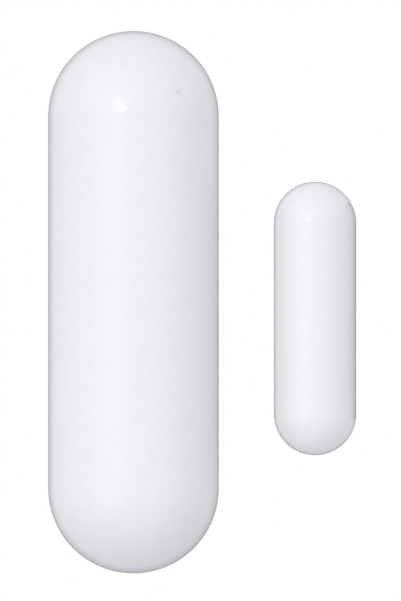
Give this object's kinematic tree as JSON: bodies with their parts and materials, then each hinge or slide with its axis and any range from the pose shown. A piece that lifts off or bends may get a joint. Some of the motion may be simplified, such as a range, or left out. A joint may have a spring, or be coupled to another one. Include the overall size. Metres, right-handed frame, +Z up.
{
  "type": "wireless door contact",
  "caption": "Wireless door contact: a pill-shaped sensor with a full-round front, for the door frame, and a smaller matching magnet unit beside it, for the door leaf.",
  "frame": {"origin": "centre of the sensor's rear adhesive face, on the plane of the wall or door frame", "axes": "+Y into the wall that both units are fixed to, so the domed fronts face -Y; +Z up along the units; +X from the sensor to the magnet unit"},
  "size_m": [0.0434, 0.0205, 0.0762],
  "materials": {
    "cover_plastic": "satin moulded, white",
    "base_plastic": "fine eroded texture, white",
    "foam": "closed-cell foam with a liner",
    "board_laminate": "solder mask, green",
    "steel": "plated",
    "reed_glass": "clear, faint green",
    "cell_sleeve": "shrink sleeve, plain",
    "contact_metal": "nickel-plated spring steel",
    "antenna_wire": "drawn wire",
    "chip_resin": "moulded resin, black",
    "capacitor_resin": "moulded resin, amber",
    "chip_ceramic": "fired, unglazed",
    "led_resin": "clear resin on a white base",
    "clear_acrylic": "polished",
    "plunger_plastic": "natural acetal",
    "magnet_nickel": "nickel-plated, dull"
  },
  "bodies": {
    "root": {"sensor_front_cover": "cover_plastic", "sensor_base": "base_plastic", "sensor_adhesive_pad": "foam", "circuit_board": "board_laminate", "board_screws": "steel", "reed_switch_glass": "reed_glass", "reed_switch_blades": "steel", "battery": "cell_sleeve", "battery_contact_positive": "contact_metal", "battery_contact_negative": "contact_metal", "helical_antenna": "antenna_wire", "radio_chip": "chip_resin", "microcontroller": "chip_resin", "crystal": "steel", "bulk_capacitor": "capacitor_resin", "chip_capacitors": "chip_ceramic", "chip_resistors": "chip_ceramic", "status_led": "led_resin", "light_guide": "clear_acrylic", "tamper_switch_body": "chip_resin", "tamper_spring": "steel", "magnet_front_cover": "cover_plastic", "magnet_base": "base_plastic", "magnet_adhesive_pad": "foam", "bar_magnet": "magnet_nickel"},
    "tamper_plunger": {"tamper_plunger": "plunger_plastic"}
  },
  "joints": [
    {"name": "tamper_travel", "type": "slide", "parent": "root", "child": "tamper_plunger", "axis": [0, 1, 0], "range_m": [0, 0.0012], "stiffness_N_per_m": 100, "springref_m": 0.0022, "deforming": ["tamper_spring"]}
  ]
}
